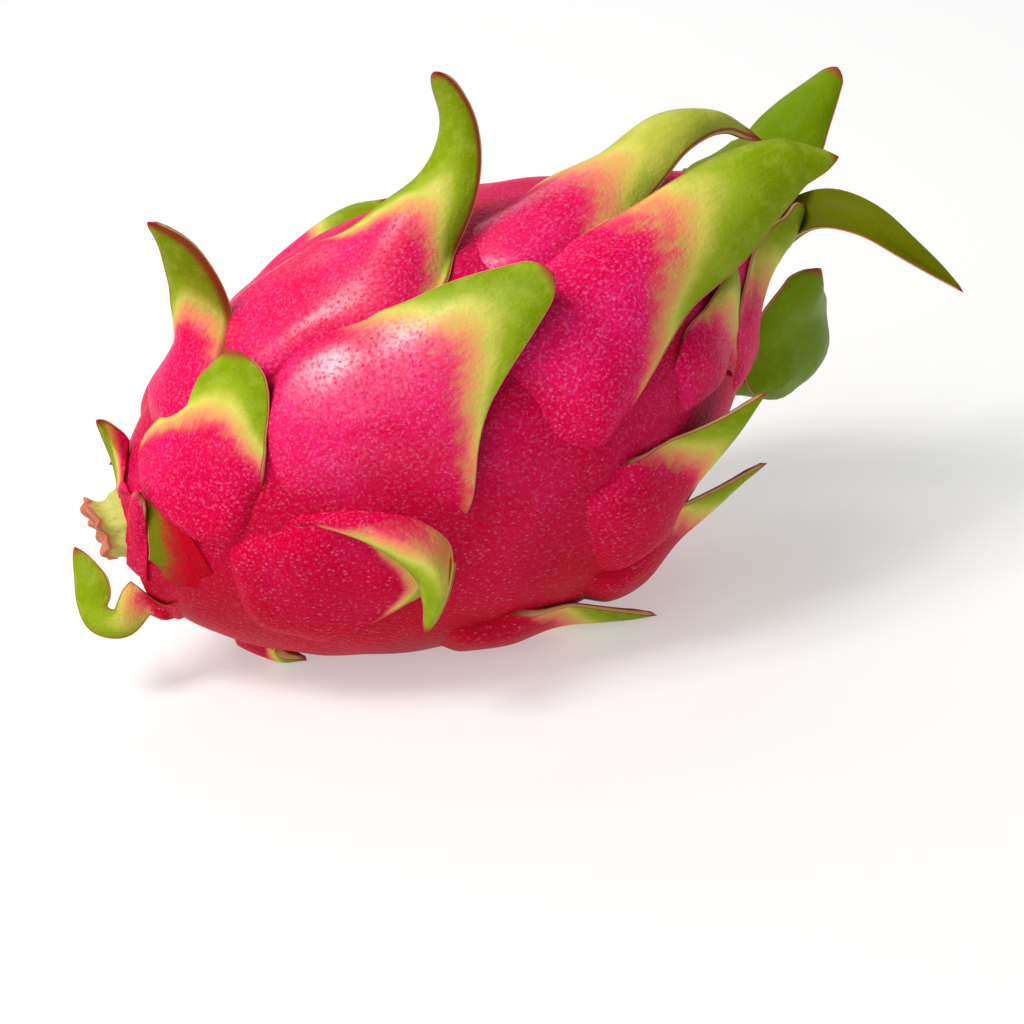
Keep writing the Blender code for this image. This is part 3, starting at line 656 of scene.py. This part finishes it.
def scaleSurfaces(name, scale, plates):
    # outer and inner grids of points, from the base to the tip and from margin to margin
    shares = 1.0 - (1.0 - np.linspace(0.0, 1.0, scaleShape["rows"])) ** scaleShape["rowCrowd"]
    spread = np.linspace(-1.0, 1.0, scaleShape["columns"])
    across = np.sign(spread) * (1.0 - (1.0 - np.abs(spread)) ** scaleShape["columnCrowd"])
    across = np.broadcast_to(across, (len(shares), len(across)))
    left, right = rowWidths(name, scale, plates, shares)
    half = np.where(across < 0.0, left[:, None], right[:, None])
    marginGap = (1.0 - np.abs(across)) * half

    points = midribPoints(scale, shares)
    normals, sides, free = midribFrames(scale, points, shares)
    normals, sides = (unit(smoothed(vectors, scaleShape["frameRounds"]))[:, None]
                      for vectors in (normals, sides))
    angle = cupAngles(scale, points[:, None], half, free[:, None])
    blade = crossPoints(points[:, None], normals, sides, half, across, angle)
    keel = (scale["fold"] * np.abs(across) * half * free[:, None])[..., None]
    outer, foot, rindNormal, onRind, lift = outerSurface(
        scale, shares, points, blade - normals * keel, free[:, None, None], across, marginGap)
    inner = innerSurface(scale, shares, outer, normals, foot, rindNormal, onRind, across, marginGap)

    swell = ripples(bent(outer), scaleShape["swellSize"], len(name) + scale["width"])
    swell = swell * scaleShape["swellHeight"] * ease(0.0, 3.0, marginGap)
    moved = swell[..., None] * normals - rindNormal * dentDepth(foot)[..., None]
    outer, inner = (liftedOffTable(bent(side + moved), clearance)
                    for side, clearance in zip((outer, inner), scaleShape["overTable"]))
    return outer, inner, colourFacts(scale, shares, points, half, across, marginGap, lift)


def gridSide(shape, surface, flip):
    # one side of a scale, a grid bent onto its points
    rows, columns = surface.shape[:2]
    made = bmesh.ops.create_grid(shape, x_segments=columns - 1, y_segments=rows - 1, size=1.0)
    verts = made["verts"]
    for vert, point in zip(verts, surface.reshape(-1, 3)):
        vert.co = Vector(point)
    if flip:
        faces = list({face for vert in verts for face in vert.link_faces})
        bmesh.ops.reverse_faces(shape, faces=faces)
    return verts


def newObject(name, data):
    made = bpy.data.objects.new(name, data)
    bpy.context.scene.collection.objects.link(made)
    return made


def meshObject(name, shape, material):
    mesh = bpy.data.meshes.new(name)
    shape.to_mesh(mesh)
    shape.free()
    mesh.materials.append(material)
    return newObject(name, mesh)


def finishedPiece(name, shape, material, node):
    # a finished shape becomes a piece that stands for its CAD node
    bmesh.ops.recalc_face_normals(shape, faces=shape.faces)
    piece = meshObject(name, shape, material)
    piece.data.shade_smooth()
    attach(piece, "root")
    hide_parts(node)


def laidDown(shape, points, layer, values):
    # moves an upright shape's points to their place on the table, with a value on each
    for vert, point, value in zip(shape.verts, toWorld(bent(points), stemEnd), values):
        vert.co = Vector(point)
        vert[layer] = value


def addScale(name, scale, plates, material):
    # one scale, its two sides made and joined at the edges
    outer, inner, facts = scaleSurfaces(name, scale, plates)
    shape = bmesh.new()
    layers = {key: shape.verts.layers.float.new(key) for key in (*facts, "inside")}
    for surface, inside in ((outer, scale["inner"]), (inner, 1.0)):
        verts = gridSide(shape, toWorld(surface, stemEnd), flip=surface is outer)
        facts["inside"] = np.full(len(verts), inside)
        for key, values in facts.items():
            for vert, value in zip(verts, values.reshape(-1)):
                vert[layers[key]] = value
    bmesh.ops.remove_doubles(shape, verts=shape.verts, dist=scaleShape["weld"] * mm)
    finishedPiece("leaf_" + name, shape, material, name)


# A wire is one output of a shader node, and sums on it add Math nodes.

class Wire:
    def __init__(self, tree, socket=None):
        self.tree = tree
        self.socket = socket

    def node(self, kind, settings=None, inputs=None, output=0):
        made = self.tree.nodes.new("ShaderNode" + kind)
        for key, value in (settings or {}).items():
            if key == "stops":
                ramp = made.color_ramp.elements
                while len(ramp) < len(value):
                    ramp.new(1.0)
                for element, (position, colour) in zip(ramp, value):
                    element.position = position
                    element.color = colour
            else:
                setattr(made, key, value)
        for key, value in (inputs or {}).items():
            if isinstance(value, Wire):
                self.tree.links.new(value.socket, made.inputs[key])
            else:
                made.inputs[key].default_value = value
        return Wire(self.tree, made.outputs[output])

    def calc(self, operation, *values):
        return self.node("Math", {"operation": operation}, dict(enumerate(values)))

    def __add__(self, other):
        return self.calc("ADD", self, other)

    def __sub__(self, other):
        return self.calc("SUBTRACT", self, other)

    def __rsub__(self, other):
        return self.calc("SUBTRACT", other, self)

    def __mul__(self, other):
        return self.calc("MULTIPLY", self, other)

    __radd__ = __add__
    __rmul__ = __mul__

    def step(self, low, high):
        # 0 below low, 1 above high, smooth between; low may be over high
        return self.node("MapRange", {"interpolation_type": "SMOOTHSTEP"},
                         {"Value": self, "From Min": low, "From Max": high})

    def coords(self):
        # where a point is in the piece's own space, which is also its place on the table
        return self.node("TexCoord", output=3)

    def fact(self, name):
        # one of the values that the points of a mesh carry
        return self.node("Attribute", {"attribute_name": name}, output=2)

    def stretched(self, *scale):
        # coordinates scaled apart, so that a pattern on them is drawn out where the scale is small
        return self.node("Mapping", None, {"Vector": self, "Scale": scale})

    def upward(self):
        return self.node("SeparateXYZ", None, {0: self}, output=2)

    def bump(self, strength):
        # this wire as a height over the surface, made a normal
        return self.node("Bump", None,
                         {"Height": self, "Strength": strength, "Distance": look["bumpDepth"]})

    def blend(self, start, end):
        # colour from start to end by this wire
        return self.node("Mix", {"data_type": "RGBA"}, {0: self, 6: start, 7: end}, output=2)

    def noise(self, coords, size, detail=2.0, roughness=0.5):
        return self.node("TexNoise", None, {"Vector": coords, "Scale": 1.0 / size,
                                                      "Detail": detail, "Roughness": roughness})

    def spots(self, coords, size):
        # distance to the nearest of many scattered points
        return self.node("TexVoronoi", {"feature": "F1"}, {"Vector": coords, "Scale": 1.0 / size})


def srgb(red, green, blue):
    # display colour 0 to 255 to a linear colour
    return (*[(value / 255.0 / 12.92 if value < 11 else ((value / 255.0 + 0.055) / 1.055) ** 2.4)
              for value in (red, green, blue)], 1.0)


def newMaterial(name, **constants):
    # a Principled material, its plain values set on the shader's own sockets
    material = bpy.data.materials.new(name)
    material.use_nodes = True
    shader = material.node_tree.nodes["Principled BSDF"]
    for key, value in constants.items():
        shader.inputs[key.replace("_", " ")].default_value = value
    return material, shader, Wire(material.node_tree)


def plug(shader, start, **wires):
    for key, wire in wires.items():
        start.tree.links.new(wire.socket, shader.inputs[key.replace("_", " ")])


look = {
    "pink": srgb(230, 0, 82),
    "pinkLight": srgb(242, 22, 110),
    "pinkDeep": srgb(206, 0, 46),
    "pinkShade": srgb(186, 0, 28),
    # painted shade for the creases between the scales
    "paintedCreaseShade": srgb(164, 0, 22),
    "blush": srgb(240, 96, 104),
    "peach": srgb(236, 160, 100),
    "yellow": srgb(214, 206, 92),
    "green": srgb(150, 172, 32),
    "greenDeep": srgb(130, 154, 8),
    "greenDark": srgb(94, 126, 0),
    "greenPale": srgb(178, 192, 66),
    "greenInside": srgb(107, 114, 6),
    "redInside": srgb(176, 26, 34),
    "marginRed": srgb(158, 38, 40),
    "marginPale": srgb(226, 190, 130),
    "fleck": srgb(252, 132, 178),
    # sizes of the patterns, and heights over the table
    "fleckSize": 0.8 * mm,
    "fleckPatchSize": 1.7 * mm,
    "cloudSize": 17.0 * mm,
    "mottleSize": 1.5 * mm,
    "grainSize": 0.62 * mm,
    "swellingSize": 0.9 * mm,
    "pitSize": 1.5 * mm,
    "waxPitSize": 1.3 * mm,
    "waxGrainSize": 0.8 * mm,
    "broadSize": 9.0 * mm,
    "leafMottleSize": 3.5 * mm,
    "fibreSize": 0.6 * mm,
    "bumpDepth": 0.4 * mm,
    "shadeFrom": 70.0 * mm,       # painted shade: the pink darkens from here down
    "shadeTo": 10.0 * mm,
    "waxFrom": 42.0 * mm,         # and the wax shines from here up
    "waxTo": 76.0 * mm,
}


def fleckMask(start, coords):
    # small pale flecks, a little longer along the fruit
    near = start.spots(coords.stretched(0.62, 1.0, 1.0), look["fleckSize"])
    patches = start.noise(coords, look["fleckPatchSize"], 2.0)
    return near.step(0.36, 0.12) * patches.step(0.3, 0.6)


def rindColour(start, coords, flecks):
    # pink skin with soft clouds, mottling, fine grain and pale flecks, and painted shade that darkens it
    # towards the table
    clouds = start.noise(coords, look["cloudSize"], 3.0)
    mottle = start.noise(coords, look["mottleSize"], 3.0, 0.6)
    grain = start.noise(coords, look["grainSize"], 2.0)
    pink = clouds.step(0.36, 0.68).blend(look["pink"], look["pinkLight"])
    pink = (mottle.step(0.42, 0.72) * 0.45).blend(pink, look["pinkDeep"])
    pink = (grain.step(0.5, 0.72) * 0.28).blend(pink, look["fleck"])
    # painted shade: lower down, nearer the table, the pink darkens to pinkShade
    pink = (coords.upward().step(look["shadeFrom"], look["shadeTo"]) * 0.9).blend(pink, look["pinkShade"])
    return (flecks * 0.36).blend(pink, look["fleck"])


def skinBump(start, coords, flecks, strength):
    # orange-peel swellings and pits, as a normal
    swelling = start.noise(coords, look["swellingSize"], 2.0, 0.55)
    pits = start.spots(coords, look["pitSize"]).step(0.3, 0.12)
    return (swelling + flecks * 0.25 - pits * 0.12).bump(strength)


def waxShine(start, coords, green, gap):
    # the coat of wax, left on top of the pink and rubbed off in grains and pits
    pits = start.spots(coords, look["waxPitSize"]).step(0.32, 0.18)
    grain = start.noise(coords, look["waxGrainSize"], 2.0).step(0.34, 0.6) * 0.6 + 0.4
    wax = start.fact("wax") * coords.upward().step(look["waxFrom"], look["waxTo"]) * gap.step(0.5, 6.0)
    return wax * (1.0 - green.step(-0.1, 0.6) * 0.8) * (1.0 - pits * 0.8) * grain


def scaleMaterial():
    # pink plates that turn green towards the tip, with red and pale margins and painted shade in the
    # creases
    material, shader, start = newMaterial("scale_skin", Coat_Roughness=0.28, Specular_IOR_Level=0.03)
    coords = start.coords()
    gap = start.fact("marginGap")
    lift = start.fact("lift")
    inside = start.fact("inside").step(0.3, 0.7)
    broad = start.noise(coords, look["broadSize"], 3.0)
    mottle = start.noise(coords, look["leafMottleSize"], 3.0)
    acrossFibres = start.node("CombineXYZ", None, {
        0: start.fact("along") * mm * 0.1, 1: start.fact("across") * mm})
    fibres = start.noise(acrossFibres, look["fibreSize"], 3.0)
    green = start.fact("green") + (broad - 0.5) * 0.3 + (mottle - 0.5) * 0.14 + (fibres - 0.5) * 0.12

    flecks = fleckMask(start, coords)
    pink = rindColour(start, coords, flecks)
    # painted shade: the pink darkens to the crease colour near a plate's sunken edges, where it meets its
    # neighbours
    pink = ((1.0 - lift.step(0.0, 0.8)) * gap.step(3.5, 0.4) * 0.8).blend(pink, look["paintedCreaseShade"])
    leaf = start.node("ValToRGB", {"stops": [
        (0.0, look["pink"]), (0.05, look["blush"]), (0.1, look["peach"]), (0.15, look["yellow"]),
        (0.21, look["green"]), (0.28, look["greenDeep"]), (0.55, look["greenDeep"]),
        (0.75, look["greenDark"])]}, {0: green * 0.25})
    streaks = mottle.step(0.45, 0.7) * 0.3 + fibres.step(0.45, 0.7) * 0.1
    leaf = (streaks * green.step(3.2, 2.0)).blend(leaf, look["greenPale"])
    leaf = (flecks * green.step(3.2, 2.0) * 0.16).blend(leaf, look["marginPale"])
    outer = green.step(-0.06, 0.3).blend(pink, leaf)
    # painted shade: near the base the inner side, in the gap over the rind, takes the dark pinkShade
    under = green.step(-1.0, -0.4).blend(look["pinkShade"], look["redInside"])
    under = (green + (mottle - 0.5) * 0.8).step(-0.5, 0.9).blend(under, look["greenInside"])
    colour = inside.blend(outer, under)
    freeLeaf = lift.step(0.6, 1.0) * green.step(-0.2, 0.2)
    colour = (freeLeaf * start.fact("rim").step(1.0, 0.4) * 0.85).blend(colour, look["marginRed"])
    colour = (freeLeaf * gap.step(0.2, 0.06) * 0.8).blend(colour, look["marginPale"])
    colour = (start.fact("tip").step(1.0, 0.15) * freeLeaf * 0.85).blend(colour, look["marginRed"])
    plug(shader, start, Base_Color=colour, Roughness=0.36 + (broad - 0.5) * 0.16 + inside * 0.12,
         Coat_Weight=waxShine(start, coords, green, gap),
         Normal=skinBump(start, coords, flecks, 0.9 - green.step(0.0, 0.6) * 0.5))
    return material


def rindMaterial():
    # the body's own skin, with painted shade that darkens it in the creases between the scales
    material, shader, start = newMaterial("rind_skin", Coat_Roughness=0.28, Coat_Weight=0.04,
                                          Specular_IOR_Level=0.03)
    coords = start.coords()
    flecks = fleckMask(start, coords)
    bare = start.fact("bare").step(0.45, 0.7)
    # painted shade: the rind darkens to the crease colour between the scales
    colour = (0.65 + bare * 0.35).blend(look["paintedCreaseShade"], rindColour(start, coords, flecks))
    broad = start.noise(coords, look["broadSize"], 3.0)
    plug(shader, start, Base_Color=colour, Roughness=0.38 + (broad - 0.5) * 0.16,
         Normal=skinBump(start, coords, flecks, 0.9))
    return material


woodLook = {
    "fibreSize": 0.8 * mm,
    "blotchSize": 3.0 * mm,
    "dark": srgb(120, 70, 40),
    # the flank's colour and the torn end's
    "stub": (srgb(196, 196, 96), srgb(204, 120, 88)),
    "scar": (srgb(120, 82, 52), srgb(86, 58, 38)),
}


def woodMaterial(name):
    # dry fibrous wood, of another colour where it is torn
    flank, end = woodLook[name]
    material, shader, start = newMaterial(name + "_wood", Specular_IOR_Level=0.3)
    coords = start.coords()
    fibres = start.noise(coords.stretched(0.25, 1.0, 1.0), woodLook["fibreSize"], 4.0, 0.65)
    blotches = start.noise(coords, woodLook["blotchSize"], 3.0)
    colour = (start.fact("torn") + (blotches - 0.5) * 0.6).step(0.3, 0.7).blend(flank, end)
    colour = (fibres.step(0.5, 0.8) * 0.5).blend(colour, woodLook["dark"])
    plug(shader, start, Base_Color=colour, Roughness=0.6 + (blotches - 0.5) * 0.3, Normal=fibres.bump(0.6))
    return material


# The body, its stem stub and the flower scar.

def spunShape(profile, turns, fact):
    # outline of (radius, along) turned about the fruit's axis, still upright, with a layer for a fact
    shape = bmesh.new()
    layer = shape.verts.layers.float.new(fact)
    verts = [shape.verts.new((radius, 0.0, along)) for radius, along in profile]
    edges = [shape.edges.new(pair) for pair in zip(verts, verts[1:])]
    bmesh.ops.spin(shape, geom=verts + edges, cent=(0, 0, 0), axis=(0, 0, 1), dvec=(0, 0, 0),
                   angle=2.0 * math.pi, steps=turns, use_merge=True)
    bmesh.ops.remove_doubles(shape, verts=shape.verts, dist=0.001)
    return shape, layer


def dryShape(profile, turns):
    # a spun shape made finer, with its torn layer, its points and their angles round it
    shape, torn = spunShape(profile, turns, "torn")
    bmesh.ops.subdivide_edges(shape, edges=shape.edges, cuts=1, use_grid_fill=True)
    points = np.array([vert.co for vert in shape.verts])
    return shape, torn, points, np.arctan2(points[:, 1], points[:, 0])


def addBody(plates, material):
    # the rind with its dimple in the crown end, cut level with the table where it would reach it
    middle = 0.5 * (body["to"] + body["from"])
    rimOut, rimBelow = body["dimpleRim"]
    profile = [(0.0, body["dimpleFloor"]), (body["dimple"], body["dimpleFloor"]),
               (body["dimple"] + rimOut, body["to"] - rimBelow)]
    for step in range(body["rings"] + 1):
        along = middle + (body["to"] - middle) * math.cos(math.pi * step / body["rings"])
        profile.append((float(rindRadius(np.float64(along))), along))
    profile.append((0.0, body["from"]))
    shape, layer = spunShape(profile, body["turns"], "bare")
    shape.verts.ensure_lookup_table()
    points = np.array([vert.co for vert in shape.verts])
    foot, normal = nearestOnRind(points)
    outerSkin = (norms(points - foot) < body["onSurface"])[:, None]
    feet = np.concatenate(list(plates.values()))
    bare = (norms(foot[:, None] - feet[:, :3]) / feet[:, 3]).min(axis=-1)
    swell = body["swellHeight"] * ripples(points, body["swellSize"], 4.0)
    skin = (fruit["skin"] + swell - dentDepth(foot))[:, None]
    points = np.where(outerSkin, points + normal * skin, points)
    laidDown(shape, points, layer, bare)
    cut = bmesh.ops.bisect_plane(shape, geom=shape.verts[:] + shape.edges[:] + shape.faces[:],
                                 plane_co=(0, 0, 0), plane_no=(0, 0, -1), clear_outer=True)
    rim = [item for item in cut["geom_cut"] if isinstance(item, bmesh.types.BMEdge)]
    bmesh.ops.edgeloop_fill(shape, edges=rim)
    finishedPiece("rind_fruit_body", shape, material, "fruit_body")


stub = {
    "radius": 6.6,
    "length": 4.6,
    "seat": 1.7,
    "raised": (5.2, 2.4),         # it sits off the axis, and leans further up towards its end
    "turns": 56,
    "root": 4.0,                  # its middle reaches this far into the fruit
    "torn": (0.55, 0.93),         # shares of the length over which the flank turns into the torn end
    "ribHeight": 0.1,             # as a share of the radius
    "ragged": 0.9,                # height of the teeth of the torn end
    # (share of the radius, eighths of the length from the seat), from the root to the hollow end
    "outline": [(1.15, 4.0), (1.1, 0.6), (0.98, -0.6), (0.9, -2.0), (0.86, -3.6), (0.9, -5.2),
                (0.97, -6.6), (0.99, -7.4), (0.93, -8.0), (0.8, -8.1), (0.66, -7.6), (0.5, -6.8),
                (0.3, -6.5), (0.12, -6.7), (0.0, -6.6)],
}


def addStub(material):
    # a waisted stub with ribs, a hollow end and a ragged rim
    seat, length = stub["seat"], stub["length"]
    profile = [(stub["radius"] * share, seat + drop * length / 8.0) for share, drop in stub["outline"]]
    profile.insert(0, (0.0, seat + stub["root"]))
    shape, torn, points, around = dryShape(profile, stub["turns"])
    reach = np.hypot(points[:, 0], points[:, 1])
    start, end = stub["torn"]
    endness = ease(seat - start * length, seat - end * length, points[:, 2])
    ribs = 0.35 * np.sin(5 * around + 0.8) + 0.22 * np.sin(9 * around + 2.0) + 0.15 * np.sin(17 * around)
    points[:, :2] *= (1.0 + ribs[:, None] * stub["ribHeight"] * (reach > 1.0)[:, None])
    ragged = 0.7 * np.sin(3 * around + 1.0) + 0.5 * np.sin(7 * around) + 0.35 * np.sin(13 * around + reach)
    points[:, 2] += endness * ragged * stub["ragged"]
    raised, leaning = stub["raised"]
    points[:, 0] -= raised + leaning * np.clip((seat - points[:, 2]) / length, 0.0, 1.0)
    laidDown(shape, points, torn, endness)
    finishedPiece("cut_stem_stub", shape, material, "stem_stub")


scar = {
    "radius": 7.2,
    "height": 4.0,
    "seat": 137.8,
    "turns": 56,
    "frill": 0.5,                 # height of the rim's frill
    "waves": 0.04,                # and its depth, as a share of the radius
    # (share of the radius, share of the height), from the middle over the rim and back below
    "outline": [(0.0, 0.35), (0.2, 0.5), (0.4, 0.45), (0.55, 0.8), (0.68, 1.0), (0.82, 0.95),
                (0.95, 0.65), (0.98, 0.2), (0.96, 0.0), (0.0, 0.0)],
}


def addScar(material):
    # a low ring of dried petals with a frilled rim
    seat, height = scar["seat"], scar["height"]
    profile = [(scar["radius"] * share, seat + height * rise) for share, rise in scar["outline"]]
    shape, torn, points, around = dryShape(profile, scar["turns"])
    rise = np.clip((points[:, 2] - seat) / height, 0.0, 1.0)
    frill = 0.6 * np.sin(11 * around) + 0.4 * np.sin(5 * around + 1.0) + 0.3 * np.sin(23 * around + 0.5)
    points[:, 2] += rise * frill * scar["frill"]
    points[:, :2] *= 1.0 + scar["waves"] * np.sin(17 * around + 2.0)[:, None] * rise[:, None]
    laidDown(shape, points, torn, rise)
    finishedPiece("dried_flower_scar", shape, material, "flower_scar")


# Floor, lights and camera.

studio = {
    "floorSize": 12.0,
    "floorColour": (0.55, 0.55, 0.55, 1.0),
    "floorGlow": 0.42,
    "skyColour": (1.0, 1.0, 1.0, 1.0),
    "skyStrength": 0.2,
    "aim": (0.02, 0.0, 0.055),    # where the lights point
    # name: (kind, place, size in metres or spread of the sun's disc, strength, colour)
    "lights": {
        "sun": ("SUN", (-0.6, -0.45, 0.85), 0.9, 1.0, (1.0, 0.99, 0.97)),
        "key": ("AREA", (-0.64, -0.06, 0.98), 0.42, 9.5, (1.0, 0.99, 0.97)),
        "rim": ("AREA", (0.15, 0.9, 0.9), 0.8, 4.0, (1.0, 1.0, 1.0)),
    },
}

eye = {
    "azimuth": math.radians(-16.0),
    "elevation": math.radians(24.0),
    "roll": math.radians(5.97),
    "lens": 90.0,
    "fromMiddle": (-0.13493, -0.46441, 0.17292),  # metres from the middle of the solids' box
}


def addStudio():
    # a glowing paper floor, an even sky and three lights
    paper = newMaterial("floor_paper", Roughness=0.9, Base_Color=studio["floorColour"],
                        Emission_Color=studio["skyColour"], Emission_Strength=studio["floorGlow"])[0]
    shape = bmesh.new()
    bmesh.ops.create_grid(shape, x_segments=2, y_segments=2, size=0.5 * studio["floorSize"])
    meshObject("floor", shape, paper)

    world = bpy.data.worlds.new("sky")
    world.use_nodes = True
    sky = world.node_tree.nodes["Background"]
    sky.inputs["Color"].default_value = studio["skyColour"]
    sky.inputs["Strength"].default_value = studio["skyStrength"]
    bpy.context.scene.world = world

    target = Vector(studio["aim"])
    for name, (kind, spot, size, strength, colour) in studio["lights"].items():
        data = bpy.data.lights.new(name, kind)
        setattr(data, "angle" if kind == "SUN" else "size", size)
        data.energy = strength
        data.color = colour
        light = newObject(name, data)
        light.location = spot
        light.rotation_euler = (target - Vector(spot)).to_track_quat("-Z", "Y").to_euler()


def addCamera():
    # looks down at the front from a little to the left, rolled to the fruit's slant
    data = bpy.data.cameras.new("camera")
    data.lens = eye["lens"]
    data.clip_start = 0.01
    camera = newObject("camera", data)
    middle = (cadBounds[0] + cadBounds[1]) / 2.0
    turn = (Matrix.Rotation(eye["azimuth"], 4, "Z")
            @ Matrix.Rotation(0.5 * math.pi - eye["elevation"], 4, "X")
            @ Matrix.Rotation(-eye["roll"], 4, "Z"))
    camera.matrix_world = Matrix.Translation(middle + Vector(eye["fromMiddle"])) @ turn
    bpy.context.scene.camera = camera


bpy.context.scene.view_settings.view_transform = "Standard"
addStudio()
addCamera()
print("studio and camera ready")

plates = {name: plateLine(scale) for name, scale in scales.items()}  # the room each scale claims
addBody(plates, rindMaterial())
addStub(woodMaterial("stub"))
addScar(woodMaterial("scar"))
print("body, stub and scar built")

skin = scaleMaterial()
for name, scale in scales.items():
    addScale(name, scale, plates, skin)
print(len(scales), "scales built")
